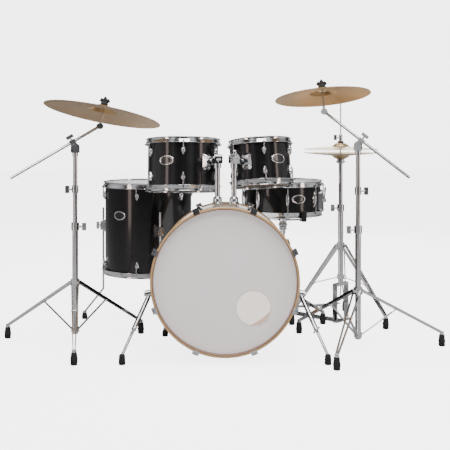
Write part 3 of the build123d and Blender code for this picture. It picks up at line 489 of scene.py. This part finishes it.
# %% [markdown]
# Most pieces of a drum are turned shapes. A lathe draws half of the section, point by point, with
# the extrude tool, and spins it round the axis. A bevel then rounds the edges as a press or a
# router would, because no real edge is perfectly sharp.


# %% The lathe and the bench
def choose(piece):
    """Make a piece the only one selected."""
    bpy.ops.object.select_all(action="DESELECT")
    piece.select_set(True)
    bpy.context.view_layer.objects.active = piece


def lathe(name, outline, steps=128):
    """Spin an outline of (radius, height) points round Z."""
    bpy.ops.object.select_all(action="DESELECT")
    bpy.ops.mesh.primitive_plane_add(size=0.001)
    piece = bpy.context.object
    piece.name = name
    bpy.ops.object.mode_set(mode="EDIT")
    bpy.ops.mesh.select_all(action="SELECT")
    bpy.ops.mesh.merge(type="CENTER")
    bpy.ops.transform.translate(value=(outline[0][0], 0, outline[0][1]))
    for (r0, z0), (r1, z1) in zip(outline, outline[1:]):
        bpy.ops.mesh.extrude_region_move(TRANSFORM_OT_translate={"value": (r1 - r0, 0, z1 - z0)})
    bpy.ops.mesh.select_all(action="SELECT")
    bpy.ops.mesh.spin(steps=steps, angle=2 * pi, center=(0, 0, 0), axis=(0, 0, 1))
    bpy.ops.mesh.select_all(action="SELECT")
    bpy.ops.mesh.remove_doubles(threshold=0.00001)
    bpy.ops.mesh.normals_make_consistent(inside=False)
    bpy.ops.object.mode_set(mode="OBJECT")
    return piece


def bevel(piece, width, segments=2):
    """Round the sharp edges of a piece."""
    choose(piece)
    rounding = piece.modifiers.new("rounding", "BEVEL")
    rounding.width = width
    rounding.segments = segments
    rounding.limit_method = "ANGLE"
    rounding.angle_limit = radians(32)
    bpy.ops.object.modifier_apply(modifier=rounding.name)


def smooth(piece, levels):
    """Subdivide a piece into a smooth surface."""
    choose(piece)
    rounding = piece.modifiers.new("rounding", "SUBSURF")
    rounding.levels = rounding.render_levels = levels
    bpy.ops.object.modifier_apply(modifier=rounding.name)


def copy_of(master, name):
    """A copy of a piece with a mesh of its own."""
    piece = master.copy()
    piece.data = master.data.copy()
    piece.name = name
    bpy.context.scene.collection.objects.link(piece)
    return piece


def fit(piece, matrix, finish, body, angle=38):
    """Bake a piece's place into its mesh, then give it its finish and the body that it rides on."""
    choose(piece)
    piece.matrix_world = matrix
    bpy.ops.object.transform_apply(location=True, rotation=True, scale=True)
    bpy.ops.object.shade_smooth_by_angle(angle=radians(angle))
    if finish:
        piece.data.materials.clear()
        piece.data.materials.append(finish)
    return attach(piece, body)


def join(pieces):
    """Join pieces into the first one."""
    choose(pieces[0])
    for piece in pieces[1:]:
        piece.select_set(True)
    bpy.ops.object.join()
    return pieces[0]


def mm(*outline):
    """An outline given in millimetres, in metres."""
    return [(r / 1000, z / 1000) for r, z in outline]


# %% [markdown]
# Every shell is a ply tube whose two edges are cut to 45 degrees, so that the head rests on a
# narrow crest. Outside it has the covering, inside it is bare maple, seen through the clear heads
# and through the port of the bass drum.

# %% Shells
wall, crest, edge_cut, edge_round = 0.0075, 0.0025, 0.005, 0.001
for name, body in drum_bodies.items():
    matrix, radius, half = drum_frames[name]
    inner = radius - wall
    shell = lathe(f"{name}_covered_shell", [
        (radius, -half + edge_round), (radius, 0), (radius, half - edge_round), (radius - edge_round, half),
        (radius - crest, half), (inner, half - edge_cut), (inner, 0), (inner, -half + edge_cut),
        (radius - crest, -half), (radius - edge_round, -half), (radius, -half + edge_round)], 160)
    ply = wood(f"{name}_ply", matrix, (0.44, 0.20, 0.06), (0.66, 0.36, 0.13), 0.0)
    shell.data.materials.append(covering)
    shell.data.materials.append(ply)
    for face in shell.data.polygons:
        if face.center.xy.length < radius - crest / 2:
            face.material_index = 1
    fit(shell, matrix, None, body)
    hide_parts(f"{name}_shell")
print("shells", len(drum_bodies))

# %% [markdown]
# The bass drum's hoops are maple, lacquered clear, with a dark brown band painted along the inside
# that stands for painted shade on the hoop's inner wall. The other drums have steel hoops pressed with
# three flanges: one that turns out at the top, one that sits on the head's ring, and one at the bottom
# that the rods pull on through its ears.

# %% Hoops
bass_matrix, bass_radius, bass_half = drum_frames["bass_drum"]
inside, outside, chamfer = bass_radius + 0.002, bass_radius + 0.0136, 0.002
seat, face_height = -0.008, 0.0306
# The hoop's inner wall and a band of its face 3.2 mm wide next to it are painted dark brown: painted shade.
maple = wood("maple_hoop", bass_matrix, (0.56, 0.33, 0.14), (0.80, 0.56, 0.30), inside + 0.0032)
for way, label in ((1, "front"), (-1, "back")):
    hoop = lathe(f"bass_drum_{label}_hoop", [
        (inside, seat), (outside - chamfer, seat), (outside, seat + chamfer),
        (outside, face_height - chamfer), (outside - chamfer, face_height), (inside + chamfer, face_height),
        (inside, face_height - chamfer),
        (inside, seat)], 160)
    bevel(hoop, 0.0008)
    turned = bass_matrix @ Matrix.Translation((0, 0, way * bass_half))
    if way < 0:
        turned = turned @ Matrix.Rotation(pi, 4, "X")
    fit(hoop, turned, maple, "kit")
    if way > 0:
        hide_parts("bass_drum_hoops")

ear_bottom, ear_sheet, ear_radius, rod_ring = -0.013, 0.0022, 0.0085, 0.0145
for name, body in drum_bodies.items():
    if name == "bass_drum":
        continue
    matrix, radius, half = drum_frames[name]
    section = mm((2.4, -1.2), (7, -1.2), (7, -13), (16, -13), (16, -10.8), (9.2, -10.8), (9.2, 1), (4.6, 1),
                 (4.6, 10.8), (9.2, 10.8), (9.2, 13), (2.4, 13), (2.4, -1.2))
    rods = middles(f"{name}_rods", matrix)
    for way, label in ((1, "top"), (-1, "bottom")):
        hoop = lathe(f"{name}_{label}_hoop", [(radius + r, z) for r, z in section], 144)
        bevel(hoop, 0.0009, 2)
        ears = []
        for spot in rods:
            if spot.z * way < 0:
                continue
            out = Vector((spot.x, spot.y * way, 0)).normalized() * (radius + rod_ring)
            bpy.ops.object.select_all(action="DESELECT")
            bpy.ops.mesh.primitive_cylinder_add(vertices=32, radius=ear_radius, depth=ear_sheet * 1.15,
                                                location=(out.x, out.y, ear_bottom + ear_sheet / 2))
            ear = bpy.context.object
            bevel(ear, 0.0007, 2)
            ears.append(ear)
        hoop = join([hoop] + ears)
        turned = matrix @ Matrix.Translation((0, 0, way * half))
        if way < 0:
            turned = turned @ Matrix.Rotation(pi, 4, "X")
        fit(hoop, turned, chrome, body)
        if way > 0:
            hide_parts(f"{name}_hoops")
print("hoops", 2 * len(drum_bodies))

# %% [markdown]
# A head is a sheet of film glued into an aluminium ring. The upper heads are sprayed white, the
# lower ones are clear and show the maple behind them.

# %% Heads of the toms and the snare drum
for name, body in drum_bodies.items():
    if name == "bass_drum":
        continue
    matrix, radius, half = drum_frames[name]
    bend = radius + 0.0008
    film = 0.0008
    outline = [(0, 0), (bend, 0), (bend, -0.0082), (radius + 0.0065, -0.0082), (radius + 0.0065, -0.0012),
               (bend + film, -0.0012), (bend + film, film), (0, film)]
    for way, label, finish in ((1, "batter", coated_film), (-1, "resonant", clear_film)):
        head = lathe(f"{name}_{label}_head", outline, 128)
        turned = matrix @ Matrix.Translation((0, 0, way * half))
        if way < 0:
            turned = turned @ Matrix.Rotation(pi, 4, "X")
        fit(head, turned, finish, body)
        if way > 0:
            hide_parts(f"{name}_heads")
print("heads", 8)

# %% [markdown]
# The lugs are small zinc castings. On the toms and the bass drum each is a drop, round towards the
# hoop and drawn out to a tip; on the snare drum it is a long lens that serves both hoops. The drop
# starts as a disc whose lowest point is pulled out with its neighbours, and is then raised in steps.


# %% Lugs
def casting(name, width, long, high, drop):
    """A domed casting on the XY plane: a drop with its tip towards -Y, or a lens when drop is 0."""
    bpy.ops.object.select_all(action="DESELECT")
    bpy.ops.mesh.primitive_circle_add(vertices=24, radius=width / 2, fill_type="NGON")
    piece = bpy.context.object
    piece.name = name
    for corner in piece.data.vertices:
        x, y = corner.co.x * 2 / width, corner.co.y * 2 / width
        if drop and y < 0:
            corner.co.y = -(long - width / 2) * -y
            corner.co.x = width / 2 * x * (1 - drop * (-y) ** 1.5)
        elif not drop:
            corner.co.y = long / 2 * y
            corner.co.x = width / 2 * (x * abs(x) ** 0.35)
    bpy.ops.object.mode_set(mode="EDIT")
    bpy.ops.mesh.select_all(action="SELECT")
    for step, share in ((0.30, 0.97), (0.34, 0.86), (0.22, 0.70), (0.14, 0.45)):
        bpy.ops.mesh.extrude_region_move(TRANSFORM_OT_translate={"value": (0, 0, high * step)})
        bpy.ops.transform.resize(value=(share, share, 1), center_override=(0, 0, 0))
    bpy.ops.mesh.select_all(action="SELECT")
    bpy.ops.mesh.normals_make_consistent(inside=False)
    bpy.ops.object.mode_set(mode="OBJECT")
    smooth(piece, 2)
    return piece


drop_lug = casting("drop_lug", 0.024, 0.042, 0.0195, 0.78)
lens_lug = casting("lens_lug", 0.021, 0.080, 0.0195, 0.0)
for name, body in drum_bodies.items():
    matrix, radius, half = drum_frames[name]
    master = lens_lug if name == "snare" else drop_lug
    for count, spot in enumerate(middles(f"{name}_lugs", matrix)):
        out = Vector((spot.x, spot.y, 0)).normalized()
        towards = Vector((0, 0, 1 if spot.z > 0 else -1))
        turned = Matrix((towards.cross(out), towards, out)).transposed().to_4x4()
        shift = 0 if name == "snare" else (0.042 - 0.024) / 2
        turned.translation = out * (radius - 0.001) + Vector((0, 0, spot.z)) + towards * shift
        lug = copy_of(master, f"{name}_lug_{count}")
        fit(lug, matrix @ turned, chrome, body, 60)
        if count == 0:
            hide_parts(f"{name}_lugs")
    print(name, "lugs", count + 1)
for master in (drop_lug, lens_lug):
    bpy.data.objects.remove(master)

# %% [markdown]
# Each cymbal is spun from its section: a bow that rises slowly from the edge, then the bell.
# The bow and the bell are curves through three points, sampled finely enough to look smooth.


# %% Cymbals
def through(first, second, third, count):
    """Points of the parabola through three (radius, height) points, from the first to the third."""
    (a, p), (b, q), (c, r) = first, second, third
    curve = []
    for n in range(count + 1):
        x = a + (c - a) * n / count
        y = (p * (x - b) * (x - c) / ((a - b) * (a - c)) + q * (x - a) * (x - c) / ((b - a) * (b - c))
             + r * (x - a) * (x - b) / ((c - a) * (c - b)))
        curve.append((x, y))
    return curve


hole, sheet = 0.007, 0.0013
dark_bronze = ((0.46, 0.27, 0.11), (0.70, 0.46, 0.22))
pale_bronze = ((0.54, 0.38, 0.20), (0.76, 0.58, 0.34))
ride_bell = (0.062, 0.020, 0.022)
crash_bell = (0.054, 0.018, 0.020)
hat_bell = (0.044, 0.013, 0.018)
for name, body, (bell_radius, bow, bell), way, tones in (
    ("ride_cymbal", "ride_cymbal", ride_bell, 1, dark_bronze),
    ("crash_cymbal", "crash_cymbal", crash_bell, 1, dark_bronze),
    ("hihat_top_cymbal", "hihat_rod", hat_bell, 1, pale_bronze),
    ("hihat_bottom_cymbal", "hihat_tube", hat_bell, -1, pale_bronze),
):
    matrix, radius, half = turned_frame(name)
    edge = matrix @ Matrix.Translation((0, 0, -way * half))
    if way < 0:
        edge = edge @ Matrix.Rotation(pi, 4, "X")
    foot, rise = bow * 0.94, bow + bell
    under = through((radius, 0), ((radius + bell_radius) / 2, foot * 0.58), (bell_radius, foot), 14)
    under += through((bell_radius, foot), (bell_radius * 0.62, foot + bell * 0.76), (hole, rise), 10)[1:]
    over = [(r, z + sheet) for r, z in reversed(under)]
    disc = lathe(f"{name}_turned", under + over + under[:1], 192)
    fit(disc, edge, bronze(f"{name}_bronze", edge, *tones), body, 70)
    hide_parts(name)
    print(name, "radius", round(radius, 4))

# %% [markdown]
# Rubber feet end every leg. One foot is turned with the ribs that grip the floor, and a copy goes to
# each place, squeezed to the size that the frame gives for that leg.

# %% Rubber feet
foot_height, foot_radius = 0.050, 0.015
foot_outline = mm((0, 0), (10, 0), (13, 1.2), (14, 3), (14, 6), (13, 7), (13, 9), (14.2, 10), (14.2, 13),
                  (13.2, 14), (13.2, 16), (14.6, 17), (15, 22), (14.4, 25), (13.6, 30), (12.9, 36),
                  (12.2, 43), (11, 50), (0, 50))
foot_master = lathe("foot", foot_outline, 48)
bevel(foot_master, 0.0006)
for count, solid in enumerate(solids("rubber_feet")):
    low, high = solid.min(0), solid.max(0)
    wide = float(high[0] - low[0]) / (2 * foot_radius)
    centre = (low + high) / 2
    turned = Matrix.Translation((centre[0], centre[1], low[2]))
    turned = turned @ Matrix.Diagonal((wide, wide, float(high[2] - low[2]) / foot_height, 1))
    foot = copy_of(foot_master, f"rubber_foot_{count}")
    fit(foot, turned, rubber, "kit")
    if count == 0:
        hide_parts("rubber_feet")
bpy.data.objects.remove(foot_master)
print("feet", count + 1)

tip_outline = mm((0, 0), (11, 0), (13.4, 1.5), (13.6, 5), (13.1, 12), (13.4, 14), (12.8, 24), (12.2, 36.4),
                 (9.5, 40), (6.2, 42.4), (0, 42.4))
tip_master = lathe("tip", tip_outline, 48)
bevel(tip_master, 0.0006)
for side in ("left", "right"):
    low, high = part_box(f"spur_{side}")
    across = high.x - 0.013 if side == "right" else low.x + 0.013
    tip = copy_of(tip_master, f"spur_tip_{side}")
    fit(tip, Matrix.Translation((across, bass_low.y + 0.0115, 0.0)), rubber, f"spur_{side}")
bpy.data.objects.remove(tip_master)

# %% [markdown]
# Felt washers hold each cymbal between a steel seat and a tall black wing nut. They sit on the
# cymbal's own axis, so they take their place from its frame and ride on the boom that carries it.

# %% Felts, sleeves and wing nuts
felt_radius = 0.0165
for name, boom, (_, bow, bell) in (("ride", "ride_boom", ride_bell), ("crash", "crash_boom", crash_bell)):
    matrix, radius, half = turned_frame(f"{name}_cymbal")
    edge = matrix @ Matrix.Translation((0, 0, -half))
    low_face, high_face = bow + bell - 0.0018, bow + bell + sheet + 0.0018
    lower = lathe(f"{name}_lower_felt", [
        (0, low_face - 0.0072), (felt_radius, low_face - 0.0072), (felt_radius, low_face - 0.0048),
        (felt_radius - 0.002, low_face - 0.003), (felt_radius / 2, low_face + 0.0003),
        (0, low_face + 0.0003)], 48)
    fit(lower, edge, felt, boom, 60)
    upper = lathe(f"{name}_upper_felt", [
        (0, high_face - 0.0003), (felt_radius - 0.002, high_face - 0.0003),
        (felt_radius + 0.0005, high_face + 0.002), (felt_radius, high_face + 0.0074),
        (felt_radius - 0.002, high_face + 0.0085), (0, high_face + 0.0085)], 48)
    fit(upper, edge, felt, boom, 60)
    nut_foot = high_face + 0.0085
    nut = lathe(f"{name}_wing_nut", [
        (0, nut_foot), (0.0105, nut_foot), (0.011, nut_foot + 0.002), (0.0095, nut_foot + 0.006),
        (0.0085, nut_foot + 0.018), (0.0078, nut_foot + 0.022), (0.006, nut_foot + 0.024),
        (0, nut_foot + 0.024)], 32)
    wings = [nut]
    for way in (-1, 1):
        bpy.ops.object.select_all(action="DESELECT")
        bpy.ops.mesh.primitive_cube_add(size=1, location=(way * 0.0135, 0, nut_foot + 0.0085))
        wing = bpy.context.object
        wing.scale = (0.017, 0.0062, 0.015)
        wing.rotation_euler = (0, -way * 0.55, 0)
        bpy.ops.object.transform_apply(location=True, rotation=True, scale=True)
        bevel(wing, 0.0026, 3)
        wings.append(wing)
    fit(join(wings), edge, rubber, boom, 50)
print("felts", 4)

hat_frame, _, hat_half = turned_frame("hihat_top_cymbal")
hat_top = hat_frame.translation.z + hat_half
hat_axis = Matrix.Translation((hat_frame.translation.x, hat_frame.translation.y, 0))
for name, low_z, high_z, wide in (
    ("clutch_lower_felt", hat_top - 0.0062, hat_top - 0.0018, 0.0146),
    ("clutch_upper_felt", hat_top + 0.0001, hat_top + 0.0066, 0.0156),
):
    washer = lathe(name, [(0, low_z), (wide - 0.001, low_z), (wide, low_z + 0.001), (wide, high_z - 0.001),
                          (wide - 0.001, high_z), (0, high_z)], 48)
    fit(washer, hat_axis, felt, "hihat_rod", 60)

# %% [markdown]
# A plain oval plate is fixed to the side of each smaller drum: a bright rim round a black field, with
# nothing written on it. It is turned as a disc, stretched to an oval and bent to the shell.

# %% Badges
badge_wide, badge_high, badge_thick = 0.035, 0.0205, 0.0016
start("badge_enamel")
fleck = noise(600, place(), 2)
enamel = surface("badge_enamel", Base_Color=ramp_color(fleck, (0.3, (0.010,) * 3), (0.7, (0.02,) * 3)),
                 Roughness=0.18 + 0.1 * fleck, Coat_Weight=0.8)
for name, azimuth, share in (("tom_left", -115, 0.14), ("tom_right", -56, 0.08), ("floor_tom", -126, 0.33),
                             ("snare", -69.6, 0.05)):
    matrix, radius, half = drum_frames[name]
    badge = lathe(f"{name}_badge", [
        (0, 0.9), (0.25, 0.9), (0.55, 0.9), (0.80, 0.9), (0.83, 1.25), (0.90, 1.35), (0.96, 1.1), (1.0, 0.4),
        (1.0, -0.6), (0.8, -0.6), (0.4, -0.6), (0, -0.6)], 64)
    badge.data.materials.append(chrome)
    badge.data.materials.append(enamel)
    for face in badge.data.polygons:
        if face.center.xy.length < 0.79 and face.center.z > 0:
            face.material_index = 1
    for corner in badge.data.vertices:
        turn = corner.co.x * badge_wide / radius
        out = radius + corner.co.z * badge_thick
        corner.co = (out * sin(turn), out * -cos(turn), corner.co.y * badge_high)
    turned = Matrix.Translation((0, 0, half * share)) @ Matrix.Rotation(radians(azimuth + 90), 4, "Z")
    body = drum_bodies[name]
    fit(badge, matrix @ turned, None, body, 40)
print("badges", 4)

# %% [markdown]
# The port in the front head is edged with a thin ring of clear plastic that keeps the film from
# tearing. Each arm of the snare's basket wears a rubber sleeve.

# %% Port ring and basket sleeves
port_radius, port_x, port_y = 0.068, 0.112, -0.104
ring = lathe("port_ring", [
    (port_radius - 0.0015, -0.0014), (port_radius + 0.006, -0.0014), (port_radius + 0.006, -0.0002),
    (port_radius + 0.0005, 0.0012), (port_radius - 0.0015, 0.0012), (port_radius - 0.0015, -0.0014)], 128)
film_face = bass_matrix @ Matrix.Translation((port_x, port_y, bass_half + 0.0008))
fit(ring, film_face, clear_film, "kit", 60)

snare_matrix, snare_radius, snare_half = drum_frames["snare"]
hook_ring = snare_radius + 0.024
snare_bottom = snare_matrix.translation.z - snare_half
for count, azimuth in enumerate((-65, 55, 175)):
    bpy.ops.object.select_all(action="DESELECT")
    bpy.ops.mesh.primitive_cube_add(size=1)
    sleeve = bpy.context.object
    sleeve.name = f"basket_sleeve_{count}"
    sleeve.scale = (0.013, 0.0225, 0.048)
    bpy.ops.object.transform_apply(scale=True)
    bevel(sleeve, 0.0035, 3)
    out = Vector((cos(radians(azimuth)), sin(radians(azimuth)), 0))
    spot = snare_matrix.translation + out * hook_ring
    spot.z = snare_bottom - 0.013 - 0.014 + 0.0225
    turned = Matrix.Translation(spot) @ Matrix.Rotation(radians(azimuth), 4, "Z")
    fit(sleeve, turned, rubber, "snare", 50)
print("sleeves", 3)

# %% [markdown]
# What the frame already shapes well keeps its own mesh and takes a finish: tubes, clamps and
# castings are chrome, footboards are a duller casting, and key rods and wires are plated steel. The
# beater's node holds a felt head on a steel shaft, which are told apart by their height.

# %% Finishes of the frame's own nodes
finishes = {"chrome": chrome, "steel": steel, "board": cast_board, "rubber": rubber, "beater": beater_felt,
            "head_film": coated_film, "maple": maple, "black_shell": covering, "cymbal_bronze": steel}
special = {"bass_drum_front_head": front_film, "bass_drum_batter_head": batter_film}
slot_of = {entry["node"]: entry["material_slot"] for entry in frame["record"]["subparts"]}
for name, node in nodes.items():
    node.data.materials.clear()
    node.data.materials.append(special.get(name, finishes[slot_of[name]]))
beater = nodes["bass_pedal_beater"]
beater.data.materials.append(steel)
felt_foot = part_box("bass_pedal_beater")[1].z - 0.055
for face in beater.data.polygons:
    if face.center.z < felt_foot:
        face.material_index = 1
print("finished nodes", len(nodes))

# %% Sizes and finish
bpy.context.view_layer.update()
low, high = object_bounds()
print("visual", [round(c, 4) for c in (*low, *high)])
